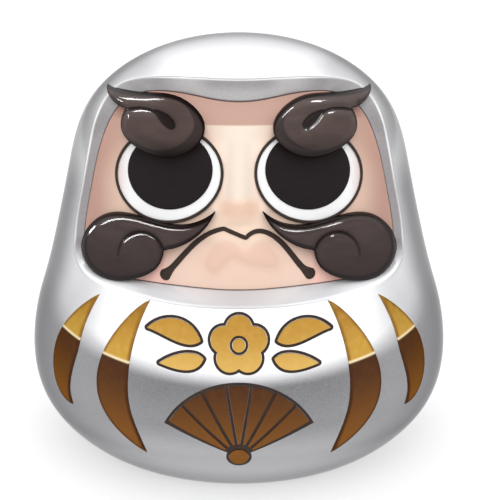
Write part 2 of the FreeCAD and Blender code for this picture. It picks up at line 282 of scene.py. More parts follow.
crowded = 0.97  # moved points closer than this share of their distance are left out
edge_angles = (15, 30, 45, 60, 75, 90)  # degrees around a rounded edge


def placed_object(name, data):
    piece = bpy.data.objects.new(name, data)
    bpy.context.scene.collection.objects.link(piece)
    return piece


def shell_object(name, part, material, replaced):
    """One object from a closed mesh and its marks, which stands for CAD nodes."""
    points, polygons, marks = part
    mesh = bpy.data.meshes.new(name)
    mesh.from_pydata([tuple(point) for point in points], [],
                     [[int(k) for k in face] for face in polygons])
    mesh.update()
    mesh.polygons.foreach_set("use_smooth", [True] * len(mesh.polygons))
    for title, values in marks.items():
        mark = mesh.attributes.new(title, "FLOAT", "POINT")
        mark.data.foreach_set("value", np.asarray(values, np.float32))
    mesh.materials.append(material)
    piece = placed_object(name, mesh)
    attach(piece, "root")
    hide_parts(*replaced)
    return piece


def grid_inside(loops, spacing, clear):
    """Evenly spaced points between the loops, clear of them all."""
    low, high = loops[0].min(axis=0), loops[0].max(axis=0)
    columns = np.arange(low[0], high[0], spacing)
    rows = np.arange(low[1], high[1], spacing * math.sqrt(3) / 2)
    points = np.array([(x + (k % 2) * spacing / 2, z) for k, z in enumerate(rows) for x in columns])
    points = points[between_loops(points, loops)]
    return points[gap_to(points, loops) > clear]


def inset(loops, depth):
    """The loops' points moved into the shape between them, where they don't crowd."""
    rings = []
    for index, loop in enumerate(loops):
        ring = loop if (area_of(loop) > 0) == (index == 0) else loop[::-1]
        rings.append(ring + left_of(along_loop(ring)) * depth)
    points = np.concatenate(rings)
    return points[gap_to(points, loops) > depth * crowded]


def triangulated(loops, extra):
    """Points and triangles of the flat shape between the loops."""
    edges, first = [], 0
    for loop in loops:
        count = len(loop)
        edges += [(first + k, first + (k + 1) % count) for k in range(count)]
        first += count
    points = np.concatenate(list(loops) + [extra])
    found = delaunay_2d_cdt([Vector(p) for p in points], edges, [], 0, 1e-7)
    flat = np.array([tuple(p) for p in found[0]])
    triangles = np.array(found[2])
    triangles = triangles[between_loops(flat[triangles].mean(axis=1), loops)]
    a, b, c = (flat[triangles[:, k]] for k in range(3))
    flipped = (b[:, 0] - a[:, 0]) * (c[:, 1] - a[:, 1]) - (b[:, 1] - a[:, 1]) * (c[:, 0] - a[:, 0]) < 0
    triangles[flipped] = triangles[flipped][:, ::-1]
    return flat, triangles


def border_of(triangles):
    """The directed edges that only one triangle has."""
    edges = {(int(t[k]), int(t[(k + 1) % 3])) for t in triangles for k in range(3)}
    return [edge for edge in edges if edge[::-1] not in edges]


class Fold:
    """A valley along a line, where a piece curls in on itself, and the hollow that it may end in.

    The piece is rounded down into it as at its outline. lifts say where on the rounding its bottom
    lies, along the line and at its end, from 0 at the foot to 1 at the top.
    """

    reach = 2.4 * MM
    spacing = 0.3 * MM
    offsets = (0.3 * MM, 0.6 * MM, 0.95 * MM, 1.35 * MM, 1.8 * MM, reach)
    fade = 9 * MM  # where the lift changes, before the line's end

    def __init__(self, line, lifts, hollow=None):
        self.line = evenly(spline(placed(line), 200), self.spacing)
        self.hollow = None if hollow is None else evenly(spline(placed(hollow), 300), self.spacing)[:-1]
        self.lifts = lifts

    def valley(self, flat):
        """Distance from the line and the hollow, and 0 inside the hollow."""
        gap = distance(flat, self.line, closed=False)
        if self.hollow is not None:
            gap = np.minimum(gap, np.where(inside(flat, self.hollow), 0, distance(flat, self.hollow)))
        return gap

    def gap(self, flat, width):
        """The valley's distance, lifted, for an edge that is rounded over width."""
        start, end = self.lifts
        left = np.clip(np.linalg.norm(flat - self.line[-1], axis=1) / self.fade, 0, 1)
        return self.valley(flat) + width * (end + (start - end) * left)

    def rows(self):
        """Points along the line and the hollow, and rows beside them."""
        lines = [self.line] if self.hollow is None else [self.line, self.hollow]
        found = list(lines)
        for line in lines:
            across = left_of(unit(np.gradient(line, axis=0)))
            for offset in self.offsets:
                for side in (-offset, offset):
                    beside = line + across * side
                    found.append(beside[self.valley(beside) > offset * crowded])
        return np.concatenate(found)

    def put_into(self, points, loop):
        """The points, with its rows in the place of those near the valley."""
        rows = self.rows()
        rows = rows[inside(rows, loop)]
        rows = rows[distance(rows, loop) > 0.25 * MM]
        points = points[self.valley(points) > self.reach + 0.2 * MM]
        return np.concatenate([points, rows])


def slab(loops, surface, rise, edge, spacing, sink=1 * MM, relief=None, lean=(0, 0), fold=None):
    """A closed piece that stands on a surface: a front with rounded edges, upright sides and a back.

    edge is the rounding's width and depth, and relief(points) is added to the front's rise. Its marks
    are each point's distance from the outline, from the outline moved by lean, and from the fold.
    """
    width, drop = edge
    rings = [inset(loops, width * (1 - math.cos(math.radians(angle)))) for angle in edge_angles]
    extra = np.concatenate(rings + [grid_inside(loops, spacing, width * 1.15)])
    if fold:
        extra = fold.put_into(extra, loops[0])
    flat, triangles = triangulated(loops, extra)
    outline_gap = gap_to(flat, loops)
    gap = np.minimum(outline_gap, fold.gap(flat, width)) if fold else outline_gap
    share = np.clip(gap / width, 0, 1)
    height = rise - drop * (1 - np.sqrt(1 - (1 - share) ** 2))
    if relief:
        height = height + relief(flat) * share
    x, z = flat.T
    front = np.stack([x, surface(x, z, height), z], axis=1)
    back = np.stack([x, surface(x, z, np.full(len(flat), -sink)), z], axis=1)
    count = len(flat)
    faces = [tuple(t) for t in triangles] + [tuple(t[::-1] + count) for t in triangles]
    faces += [(b, a, a + count, b + count) for a, b in border_of(triangles)]
    moved = loops[0] + np.array(lean)
    top = distance(flat, moved) * np.where(inside(flat, moved), 1, -1)
    marks = {"rim": np.append(outline_gap, np.zeros(count)),
             "top": np.append(top, np.full(count, -1.0))}
    if fold:
        marks["fold"] = np.append(fold.valley(flat), np.ones(count))
    return np.concatenate([front, back]), faces, marks


def turned(part, degrees):
    """A closed mesh turned about the body's axis."""
    points, faces, marks = part
    x, y, z = points.T
    cos, sin = math.cos(math.radians(degrees)), math.sin(math.radians(degrees))
    return np.stack([x * cos - y * sin, x * sin + y * cos, z], axis=1), faces, marks


def mirrored_part(part):
    points, faces, marks = part
    return points * (-1, 1, 1), [tuple(reversed(face)) for face in faces], marks


# ---- Materials


def rgb(red, green, blue):
    """A screen colour, 0 to 255, as the linear colour that nodes take."""
    def linear(value):
        value /= 255
        return value / 12.92 if value <= 0.04045 else ((value + 0.055) / 1.055) ** 2.4
    return (linear(red), linear(green), linear(blue), 1.0)


class Nodes:
    """Small steps that build a node tree."""

    def __init__(self, tree):
        self.tree = tree

    def new(self, kind):
        return self.tree.nodes.new("ShaderNode" + kind)

    def link(self, value, socket):
        if isinstance(value, bpy.types.NodeSocket):
            self.tree.links.new(value, socket)
        else:
            socket.default_value = value

    def math(self, operation, *values):
        node = self.new("Math")
        node.operation = operation
        for value, socket in zip(values, node.inputs):
            self.link(value, socket)
        return node.outputs[0]

    def add(self, first, *others):
        for other in others:
            first = self.math("ADD", first, other)
        return first

    def times(self, first, *others):
        for other in others:
            first = self.math("MULTIPLY", first, other)
        return first

    def ramp(self, value, start, end, low=0.0, high=1.0):
        """Smooth from low at start to high at end."""
        node = self.new("MapRange")
        node.interpolation_type = "SMOOTHSTEP"
        self.link(value, node.inputs["Value"])
        for name, number in (("From Min", start), ("From Max", end), ("To Min", low), ("To Max", high)):
            node.inputs[name].default_value = number
        return node.outputs["Result"]

    def between(self, value, low, high, soft):
        """1 from low to high, fading out over soft to each side."""
        above = self.ramp(value, low - soft, low + soft)
        below = self.ramp(value, high - soft, high + soft, 1.0, 0.0)
        return self.times(above, below)

    def mix(self, share, low, high):
        node = self.new("Mix")
        node.data_type = "RGBA"
        self.link(share, node.inputs[0])
        self.link(low, node.inputs[6])
        self.link(high, node.inputs[7])
        return node.outputs[2]


class Paint(Nodes):
    """A material whose patterns all read the piece's own coordinates and marks."""

    def __init__(self, name, **settings):
        self.material = bpy.data.materials.new(name)
        self.material.use_nodes = True
        super().__init__(self.material.node_tree)
        self.shader = self.tree.nodes["Principled BSDF"]
        self.place = self.new("TexCoord").outputs["Object"]
        axes = self.new("SeparateXYZ")
        self.link(self.place, axes.inputs[0])
        self.x, self.y, self.z = axes.outputs
        for title, value in settings.items():
            self.shader.inputs[title.replace("_", " ")].default_value = value

    def mark(self, title):
        node = self.new("Attribute")
        node.attribute_name = title
        return node.outputs["Fac"]

    def noise(self, scale, detail=3.0, stretch=(1, 1, 1)):
        mapping = self.new("Mapping")
        mapping.inputs["Scale"].default_value = stretch
        self.link(self.place, mapping.inputs["Vector"])
        node = self.new("TexNoise")
        node.inputs["Scale"].default_value = scale
        node.inputs["Detail"].default_value = detail
        self.link(mapping.outputs[0], node.inputs["Vector"])
        return node.outputs["Fac"]

    def spot(self, centre, reach, soft):
        """1 inside an ellipse of the front plane, in mm, fading out at its edge."""
        across = self.math("DIVIDE", self.math("SUBTRACT", self.x, centre[0] * MM), reach[0] * MM)
        up = self.math("DIVIDE", self.math("SUBTRACT", self.z, centre[1] * MM), reach[1] * MM)
        far = self.math("SQRT", self.add(self.times(across, across), self.times(up, up)))
        return self.ramp(far, 1 - soft, 1 + soft, 1.0, 0.0)

    def aside(self):
        return self.math("ABSOLUTE", self.x)

    def up(self, start, end, low=0.0, high=1.0):
        """Smooth from low to high between two heights in mm."""
        return self.ramp(self.z, start * MM, end * MM, low, high)

    def out(self, start, end, low=0.0, high=1.0):
        """The same between two distances in mm from the middle plane."""
        return self.ramp(self.aside(), start * MM, end * MM, low, high)

    def around(self):
        """The cosine of the angle around the body: 1 in front, -1 at the back."""
        reach = self.math("SQRT", self.add(self.times(self.x, self.x), self.times(self.y, self.y), 1e-8))
        return self.math("DIVIDE", self.times(self.y, -1.0), reach)

    def dipped(self, drop):
        """Height above a level that lies drop lower in front than at the sides."""
        return self.add(self.z, self.times(self.around(), drop), -drop)

    def bump(self, height, strength, depth=0.2 * MM):
        node = self.new("Bump")
        node.inputs["Strength"].default_value = strength
        node.inputs["Distance"].default_value = depth
        self.link(height, node.inputs["Height"])
        self.link(node.outputs[0], self.shader.inputs["Normal"])

    def finish(self, colour):
        self.link(colour, self.shader.inputs["Base Color"])
        return self.material


def silver(level, tint=2):
    """A grey with a slight blue tint."""
    return rgb(level, level, level + tint)


def belly_painted_shading(paint, around):
    """Painted light and shade below the belly's widest line: heights in mm, each with a tone ahead and
    beside.
    """
    # Painted shade makes the band under the widest line grey; painted light makes the foot paler against
    # the shadow near the floor.
    colour, start = rgb(240, 240, 240), 0
    for height, ahead, beside in ((10, 204, 208), (20, 176, 158), (32, 138, 150), (45.5, 121, 143)):
        tone = paint.mix(paint.ramp(around, 0.72, 0.96), silver(beside), silver(ahead))
        colour = paint.mix(paint.up(start, height), colour, tone)
        start = height
    return colour


def upper_painted_shading(paint, around):
    """Above it, painted light and shade: light in front and on top, grey at the sides and on the
    shoulders.
    """
    sides = paint.mix(paint.up(98, 116), silver(160, 1), silver(214, 1))
    colour = paint.mix(paint.ramp(around, 0.36, 0.68), sides, silver(238))
    colour = paint.mix(paint.up(136, 143), colour, silver(236))
    # Painted shade on the dome's shoulders.
    shaded_shoulder = paint.times(paint.out(18, 34), paint.up(126, 134), paint.up(147, 141))
    return paint.mix(shaded_shoulder, colour, silver(200, 1))


def slope_painted_shading(paint, slope):
    """The sloping edge, in painted light and shade: a pale ledge, dark sides and a grey lintel; and a
    dark crease.
    """
    ledge = paint.mix(paint.out(0, 22), silver(194, 3), silver(216, 3))
    # Painted light: the ledge is paler at its ends, where the moustaches shade it.
    ledge = paint.mix(paint.out(28, 40), ledge, silver(245))
    colour = paint.mix(paint.up(72, 84), ledge, rgb(141, 137, 138))
    # Painted shade on the lintel, under the hood's top edge.
    lintel = paint.mix(paint.ramp(slope, 0.2, 0.7), rgb(147, 145, 146), rgb(172, 170, 171))
    lintel = paint.mix(paint.out(8, 16), lintel, rgb(182, 179, 180))
    lintel = paint.mix(paint.out(18, 29), lintel, rgb(147, 145, 146))
    colour = paint.mix(paint.up(118, 132), colour, lintel)
    return paint.mix(paint.ramp(slope, 0.88, 0.96), colour, rgb(96, 84, 82))


def above_belly(paint, around):
    """Height above the belly's widest line, where the painted shade below it ends; it rises and softens
    to the sides.
    """
    away = paint.math("MINIMUM", paint.math("SUBTRACT", 1.0, around), 0.7)
    widest = paint.add(paint.times(away, 17 * MM), 44.5 * MM)
    softness = paint.add(paint.times(away, 2.6), 1.0)
    return paint.math("DIVIDE", paint.math("SUBTRACT", paint.z, widest), softness)


def silver_lacquer():
    """Satin silver with fine flake and painted light and shade, nearly matt on the sloping edge."""
    paint = Paint("silver_lacquer", Roughness=0.2, Specular_Tint=(0.4, 0.4, 0.41, 1))
    around, slope = paint.around(), paint.mark("slope")
    colour = paint.mix(paint.ramp(above_belly(paint, around), 0, 6 * MM),
                       belly_painted_shading(paint, around), upper_painted_shading(paint, around))
    # The slope's painted light and shade start sooner on the ledge below the face.
    down_slope = paint.times(slope, paint.up(76, 84, 4.0, 1.0))
    colour = paint.mix(paint.ramp(down_slope, 0.06, 0.12), colour, slope_painted_shading(paint, slope))
    paint.link(paint.ramp(down_slope, 0.06, 0.12, 0.85, 0.2), paint.shader.inputs["Metallic"])
    paint.bump(paint.noise(300, 3), 0.05)
    flake = paint.ramp(paint.noise(1600, 1), 0.35, 0.65, 0.0, 0.05)
    return paint.finish(paint.mix(flake, colour, silver(232, 4)))


def skin_patches(paint):
    """The face's patches in the order of painting: share and tone. Some are painted light and shade."""
    aside = paint.aside()
    # Painted light beside the nose, which lifts the shade of its sides.
    beside_nose_light = paint.times(paint.between(aside, 4 * MM, 9 * MM, 1.5 * MM),
                              paint.between(paint.z, 95 * MM, 120 * MM, 3 * MM))
    # Painted shade under the nose's tip.
    nose = paint.spot((0.2, 99.2), (6.8, 3.9), 0.4)
    # Painted light under the nose, which lifts the shadow of the nose and the moustaches.
    under_nose_light = paint.spot((0, 93), (14, 4), 0.5)
    chin = paint.times(paint.out(28, 20), paint.up(90, 86))
    lips = paint.spot((1.5, 83.5), (19, 7), 0.6)
    cheeks = paint.times(paint.between(aside, 24 * MM, 40 * MM, 3 * MM), paint.up(95, 80))
    return (
        (paint.times(beside_nose_light, 0.85), rgb(239, 215, 199)),
        (paint.times(nose, 0.85), rgb(233, 196, 172)),
        (paint.times(under_nose_light, 0.8), rgb(238, 210, 188)),
        (chin, rgb(226, 197, 180)),
        (paint.times(lips, 0.2), rgb(218, 180, 160)),
        (paint.times(paint.mark("lip"), 0.5), rgb(210, 172, 154)),
        (paint.times(cheeks, 0.9), rgb(254, 204, 191)),
    )


def skin_paint():
    """Matt skin, darker and rosier at the sides, with a painted hood shadow and soft tones around nose
    and lip.
    """
    paint = Paint("skin_paint", Roughness=0.6, Specular_IOR_Level=0.15)
    light, peach, rose = rgb(220, 206, 191), rgb(215, 186, 168), rgb(176, 140, 127)
    colour = paint.mix(paint.out(3, 14), light, peach)
    outward = paint.add(paint.aside(), paint.up(104, 124, 0.0, 6 * MM))
    colour = paint.mix(paint.ramp(outward, 37 * MM, 50 * MM), colour, rose)
    for share, tone in skin_patches(paint):
        colour = paint.mix(share, colour, tone)
    # Painted shadow of the hood across the top of the forehead, with a crisp lower edge.
    hood_shadow = paint.mix(paint.out(10, 26), rgb(180, 146, 133), rgb(173, 135, 124))
    colour = paint.mix(paint.up(125.2, 125.9), colour, hood_shadow)
    paint.bump(paint.noise(700, 3), 0.08)
    mottle = paint.ramp(paint.noise(45, 4), 0.3, 0.7, 0.0, 0.08)
    return paint.finish(paint.mix(mottle, colour, rose))


def gloss_coat(paint):
    """A clear coat, thinner at the moustaches' tips and the left brow's inner end."""
    left_end = paint.up(104, 108, -14 * MM, -23 * MM)
    right_end = paint.up(104, 108, 9 * MM, 6 * MM)
    left = paint.ramp(paint.math("SUBTRACT", left_end, paint.x), 0, 8 * MM, 0.0, 0.25)
    right = paint.ramp(paint.math("SUBTRACT", paint.x, right_end), 0, 5 * MM, 0.0, 0.25)
    paint.link(paint.math("MAXIMUM", left, right), paint.shader.inputs["Coat Weight"])


def brow_lacquer():
    """Dark lacquer, nearly black at the edges, with painted shade on the lower, inner sides and in
    folds, and a top browned by painted light.
    """
    paint = Paint("brow_lacquer", Roughness=0.5, Specular_IOR_Level=0.0, Coat_Roughness=0.1)
    gloss_coat(paint)
    on_brow = paint.up(104, 106)
    up_brow = paint.up(115, 124)
    up_moustache = paint.up(74, 95)
    # Painted shade and light: dark sides, widest at the lower and inner edges by the lean of the top
    # mark, and a browner top; both darker lower down.
    brow_shaded_side = paint.mix(up_brow, rgb(27, 22, 22), rgb(54, 46, 45))
    brow_lit_top = paint.mix(up_brow, rgb(34, 28, 27), rgb(77, 65, 62))
    moustache_top = paint.mix(up_moustache, rgb(49, 39, 38), rgb(68, 57, 55))
    side = paint.mix(on_brow, rgb(38, 32, 32), brow_shaded_side)
    top = paint.mix(on_brow, moustache_top, brow_lit_top)
    colour = paint.mix(paint.ramp(paint.mark("top"), 0.7 * MM, 1.4 * MM), side, top)
    streaks = paint.ramp(paint.noise(110, 4, (1, 1, 3)), 0.35, 0.7, 0.0, 0.3)
    colour = paint.mix(streaks, colour, side)
    # Painted shade in the folds and the hollow.
    colour = paint.mix(paint.ramp(paint.mark("fold"), 0.15 * MM, 0.6 * MM), rgb(36, 30, 29), colour)
    paint.bump(paint.noise(200, 2), 0.02)
    off_rim = paint.ramp(paint.mark("rim"), 0.3 * MM, 0.9 * MM)
    return paint.finish(paint.mix(off_rim, rgb(26, 19, 18), colour))


def dark_paint(name, colour, worn, roughness):
    """A flat dark paint with slight brush marks."""
    paint = Paint(name, Roughness=roughness, Specular_IOR_Level=0.08)
    brushed = paint.noise(150, 4, (1, 1, 4))
    paint.bump(brushed, 0.04)
    return paint.finish(paint.mix(paint.ramp(brushed, 0.3, 0.75, 0.0, 0.4), colour, worn))


def eye_enamel():
    """White enamel, darker and slightly rosy at the eyes' outer ends."""
    paint = Paint("eye_enamel", Roughness=0.4, Specular_IOR_Level=0.3)
    outer_end = paint.out(36, 42)
    colour = paint.mix(outer_end, rgb(229, 229, 229), rgb(210, 192, 187))
    paint.bump(paint.noise(500), 0.03, 0.1 * MM)
    mottle = paint.ramp(paint.noise(200), 0.3, 0.7, 0.0, 0.04)
    return paint.finish(paint.mix(mottle, colour, rgb(206, 202, 198)))


# Pairs of golds, lighter by the streak and darker higher up, as part of the painted reflection.
plain_gold = (rgb(194, 152, 68), rgb(160, 114, 46))
pale_gold = (rgb(226, 188, 108), rgb(182, 137, 60))


def gold_leaf(name, boundary, top, bottom, golds=plain_gold, edged=False):
    """Gold above a light streak and brown below it, darkest just under the streak: a painted reflection,
    and the streak a painted highlight.

    Heights are those at the front. edged makes both darker along the piece's rim.
    """
    paint = Paint(name, Metallic=0.8, Roughness=0.36, Specular_IOR_Level=0.0,
                  Specular_Tint=(0.6, 0.5, 0.4, 1))
    level = paint.dipped(17 * MM)
    is_upper = paint.ramp(level, boundary - 0.6 * MM, boundary + 0.6 * MM)
    upper = paint.mix(paint.ramp(level, boundary, top), *golds)
    lower = paint.mix(paint.ramp(level, bottom, boundary), rgb(134, 88, 44), rgb(77, 49, 34))
    if edged:
        off_rim = paint.ramp(paint.mark("rim"), 0.2 * MM, 1.6 * MM)
        upper = paint.mix(off_rim, rgb(140, 102, 44), upper)
        lower = paint.mix(off_rim, rgb(72, 44, 28), lower)
    # Painted highlight: a light streak where the gold meets the brown.
    streak = paint.between(level, boundary - 0.3 * MM, boundary + 0.5 * MM, 0.4 * MM)
    colour = paint.mix(is_upper, lower, upper)
    colour = paint.mix(paint.times(streak, 0.8), colour, rgb(255, 240, 200))
    wrinkle = paint.noise(420, 4)
    worn = paint.mix(is_upper, rgb(120, 76, 38), rgb(226, 190, 116))
    colour = paint.mix(paint.ramp(wrinkle, 0.4, 0.75, 0.0, 0.14), colour, worn)
    paint.bump(wrinkle, 0.12)
    return paint.finish(colour)


def plain(name, colour, spots, scale, roughness):
    """A matt material, such as clay or card."""
    paint = Paint(name, Roughness=roughness)
    paint.bump(paint.noise(scale * 3, 4), 0.3, 0.4 * MM)
    return paint.finish(paint.mix(paint.ramp(paint.noise(scale, 5), 0.3, 0.7), colour, spots))


# ---- Body

ring_spacing = 1.5 * MM
step_count = 320
step_angles = np.linspace(-math.pi, math.pi, step_count, endpoint=False)
rounding = 0.8 * MM  # of the hood's edge
slope_shares = (0.22, 0.34, 0.46, 0.58, 0.7, 0.82, 0.92, 1.0)
block_angle = 76.5  # degrees to each side of the front, around the opening
block_low, block_high = 64 * MM, 145.5 * MM
flat_scale = 60 * MM  # metres per radian, laid flat
hollow_low, hollow_side = 68 * MM, 62 * MM  # where the face may reach into the hollow


def away_from_opening(hood):
    """Directions in the body's surface, straight away from the opening's edge."""
    slope = np.gradient(profile[:, 0], profile[:, 1] + np.arange(len(profile)) * 1e-12)
    x, y, z = hood.T
    lean = np.interp(z, profile[:, 1], slope)
    normal = unit(np.stack([x / radius(z), y / radius(z), -lean], axis=1))
    return np.cross(along_loop(hood), normal)


def on_body(points):
    """Points moved level on to the body's surface, and their angles from the front."""
    x, y, z = points.T
    angle, reach = np.arctan2(x, -y), radius(z)
    return np.stack([reach * np.sin(angle), -reach * np.cos(angle), z], axis=1), angle


def opening_loops():
    """The opening's edge on the hood and on the face, as rings of points."""
    rings = []
    for edge, front in ((hood_edge, body_front), (face_edge, face_front)):
        x, z = both_halves(edge).T
        rings.append(np.stack([x, front(x, z), z], axis=1))
    return rings


def slope_rings(outer, hood, face):
    """Rings from the rounded rim down the slope and behind the face, with their marks."""
    run = face - hood
    corner = hood + unit(run) * rounding
    rings = []
    for share in np.linspace(0, 1, 6):
        rim = outer * (1 - share) ** 2 + hood * 2 * share * (1 - share) + corner * share ** 2
        rings.append((0.1 * share, rim))
    rings += [(share, hood + run * share) for share in slope_shares]
    rings.append((1.0, rings[-1][1] + (0, face_thickness, 0)))
    return rings


def base_seat():
    """Radius and height of the steps in the bottom, for the disc and the weight."""
    rebate = disc_radius + disc_gap
    return np.array([(rebate, 0), (rebate, disc_thickness),
                     (weight_hole, disc_thickness), (weight_hole, wall)])


def hollow():
    """Radius and height of the inside, from the bottom up."""
    inner = profile + left_of(unit(np.gradient(profile, axis=0))) * wall
    inner = inner[(inner[:, 0] > weight_hole) | (inner[:, 1] > body_height / 2)]
    return evenly(inner[inner[:, 0] > 0], 3 * ring_spacing)


def ring_points(chain):
    """A ring of points around the axis for each radius and height of the chain."""
    return np.stack([np.outer(chain[:, 0], np.sin(step_angles)),
                     -np.outer(chain[:, 0], np.cos(step_angles)),
                     np.repeat(chain[:, 1:2], step_count, axis=1)], axis=2)


def behind_face(rings):
    """Rings of the inside, moved back from the face and the wall behind it."""
    x, y, z = np.moveaxis(rings, 2, 0)
    near = (y < 0) & (z > hollow_low) & (np.abs(x) < hollow_side)
    limit = face_front(x, z, -face_thickness - wall)
    return np.stack([x, np.where(near, np.maximum(y, np.minimum(limit, 0)), y), z], axis=2)


def at(ring, step):
    """The number of a point of the turned rings."""
    return ring * step_count + step % step_count


def opening_block(heights):
    """The first and last ring and step around the opening."""
    rings = np.flatnonzero((heights >= block_low) & (heights <= block_high)).tolist()
    steps = np.flatnonzero(np.abs(step_angles) <= math.radians(block_angle)).tolist()
    return rings[0], rings[-1], steps[0], steps[-1]


def turned_faces(ring_count, block):
    """Faces between the turned rings outside the block, and fans from the poles."""
    low, high, first, last = block
    faces = []
    for ring in range(ring_count - 1):
        for step in range(step_count):
            if low <= ring < high and first <= step < last:
                continue
            faces.append((at(ring, step), at(ring + 1, step),
                          at(ring + 1, step + 1), at(ring, step + 1)))
    outer_pole = ring_count * step_count
    for step in range(step_count):
        faces.append((outer_pole, at(0, step), at(0, step + 1)))
        faces.append((outer_pole + 1, at(ring_count - 1, step + 1), at(ring_count - 1, step)))
    return faces


def laid_flat(angles, heights):
    """Points of the outside by their angle and their distance along the profile."""
    steps = np.linalg.norm(np.diff(profile, axis=0), axis=1)
    along = np.interp(heights, profile[:, 1], np.concatenate([[0], np.cumsum(steps)]))
    return np.stack([angles * flat_scale, along], axis=1)


def key(point):
    """What a flat point is found by after triangulation."""
    return tuple(np.round(point, 6))


class Shell:
    """The body's mesh while it is built: points, their slope marks, and faces."""

    def __init__(self):
        self.points, self.slope, self.faces = [], [], []

    def add(self, points, share=0.0):
        """Adds points and returns their numbers."""
        first = len(self.points)
        self.points += [np.array(point, float) for point in points]
        self.slope += [share] * len(points)
        return list(range(first, len(self.points)))

    def fill(self, flat, triangles, numbers):
        """Adds triangles between flat points whose numbers are known."""
        index = [numbers[key(point)] for point in flat]
        self.faces += [tuple(index[k] for k in triangle) for triangle in triangles]

    def add_block(self, block, heights, rim, support):
        """Fills the outside around the opening, and returns the rim's numbers."""
        low, high, first, last = block
        border = [(low, step) for step in range(first, last)]
        border += [(ring, last) for ring in range(low, high)]
        border += [(high, step) for step in range(last, first, -1)]
        border += [(ring, first) for ring in range(high, low, -1)]
        middle = [(ring, step) for ring in range(low + 1, high)
                  for step in range(first + 1, last)]
        turned_points = np.array(border + middle)
        flat_points = laid_flat(step_angles[turned_points[:, 1]], heights[turned_points[:, 0]])
        border_flat, middle_flat = flat_points[:len(border)], flat_points[len(border):]
        rim_flat, support_flat = (laid_flat(angle, points[:, 2]) for points, angle in (rim, support))
        clear = ~inside(middle_flat, support_flat)
        clear &= distance(middle_flat, support_flat) > 0.6 * ring_spacing
        numbers = {key(flat): at(*place) for place, flat in zip(turned_points, flat_points)}
        rim_numbers = self.add(rim[0])
        numbers.update(zip(map(key, rim_flat), rim_numbers))
        numbers.update(zip(map(key, support_flat), self.add(support[0])))
        extra = np.concatenate([support_flat, middle_flat[clear]])
        self.fill(*triangulated([border_flat, rim_flat], extra), numbers)
        return rim_numbers

    def add_ring(self, ring, share, before):
        """Joins a new ring to the ring before it, and returns its numbers."""
        numbers = self.add(ring, share)
        for k in range(len(numbers)):
            after = (k + 1) % len(numbers)
            self.faces.append((before[k], before[after], numbers[after], numbers[k]))
        return numbers

    def close_behind_face(self, ring, ring_numbers):
        """Adds the wall behind the face, inside the slope's last ring."""
        loop = ring[:, [0, 2]]
        flat, triangles = triangulated([loop], grid_inside([loop], 5 * MM, 2 * MM))
        numbers = dict(zip(map(key, loop), ring_numbers))
        for x, z in flat:
            if key((x, z)) not in numbers:
                depth = face_front(x, z, -1.6 * face_thickness)
                numbers[key((x, z))] = self.add([(x, depth, z)], 1.0)[0]
        self.fill(flat, triangles, numbers)

    def part(self):
        """The mesh without the points that no face uses."""
        used = sorted({index for face in self.faces for index in face})
        renumbered = {old: new for new, old in enumerate(used)}
        faces = [tuple(renumbered[index] for index in face) for face in self.faces]
        return np.array(self.points)[used], faces, {"slope": np.array(self.slope)[used]}


def body_part():
    """The shell: its outside, the face opening's sloping edge, and its hollow."""
    hood, face = opening_loops()
    away = away_from_opening(hood)
    rim = on_body(hood + away * rounding)
    support = on_body(hood + away * rounding * 1.8)
    outside = evenly(profile, ring_spacing)[::-1][1:]
    inner = hollow()
    rings = ring_points(np.concatenate([outside, base_seat(), inner]))
    rings[-len(inner):] = behind_face(rings[-len(inner):])

    shell = Shell()
    shell.add(rings.reshape(-1, 3))
    shell.add([(0, 0, body_height), (0, 0, body_height - wall)])
    block = opening_block(outside[:, 1])
    shell.faces += turned_faces(len(rings), block)
    numbers = shell.add_block(block, outside[:, 1], rim, support)
    slope = slope_rings(rim[0], hood, face)
    for share, ring in slope[1:]:
        numbers = shell.add_ring(ring, share, numbers)
    shell.close_behind_face(slope[-1][1], numbers)
    return shell.part()


# ---- Face

lip_rise = 0.7 * MM
nose_top, nose_foot, nose_reach = 126, 94, 4.6  # mm
face_lap = 0.5 * MM  # how far the face reaches under the slope's edge


def lip_share(flat, soft):
    """1 on the lower lip and 0 off it, with a soft edge."""
    loop = loop_of([lip_outline], 0.8 * MM)
    gap = distance(flat, loop) * np.where(inside(flat, loop), 1, -1)
    share = np.clip(0.5 + gap / (2 * soft), 0, 1)
    return share * share * (3 - 2 * share)


def face_relief(flat):
    """The nose and the lower lip, as a rise above the face."""
    x, z = flat.T / MM
    down = np.clip((nose_top - z) / 24, 0, 1)
    under = np.clip((z - nose_foot) / 8, 0, 1)
    reach = nose_reach * down ** 1.3 * under ** 0.8
    across = np.clip(np.abs(x) / (3.5 + 4.0 * down), 0, 1)
    nose = reach * (1 - across ** 2) ** 2
    return nose * MM + lip_rise * lip_share(flat, 2.4 * MM)


def face_part():
    loop = both_halves(face_edge)
    loop = loop - left_of(along_loop(loop)) * face_lap
    part = slab([loop], face_front, rise=0, sink=face_thickness, edge=(0.3 * MM, 0.2 * MM),
                spacing=0.8 * MM, relief=face_relief)
    part[2]["lip"] = lip_share(part[0][:, [0, 2]], 0.9 * MM)
    return part


# ---- Raised pieces

mouth_drop = 0.4 * MM  # how far the mouth's line lies below its curve


def brow_part():
    return slab([loop_of(brow_outline, 0.5 * MM)], lapped_front, rise=brow_thickness,
                edge=(2.6 * MM, 3.4 * MM), spacing=0.45 * MM, lean=(-2.4 * MM, 1.8 * MM),
                fold=Fold(brow_fold, (0.15, 0.15), brow_hollow))


def moustache_part():
    return slab([loop_of(moustache_outline, 0.5 * MM)], lapped_front, rise=moustache_thickness,
                edge=(2.4 * MM, 3.0 * MM), spacing=0.45 * MM, lean=(1.3 * MM, 1.4 * MM),
                fold=Fold(moustache_fold, (0.12, 0.5)))


def cap(centre, along, across, half):
    """Points of the half circle that ends a line."""
    angles = np.linspace(0, math.pi, 9)[1:-1]
    return [centre + half * (across * math.cos(a) + along * math.sin(a)) for a in angles]


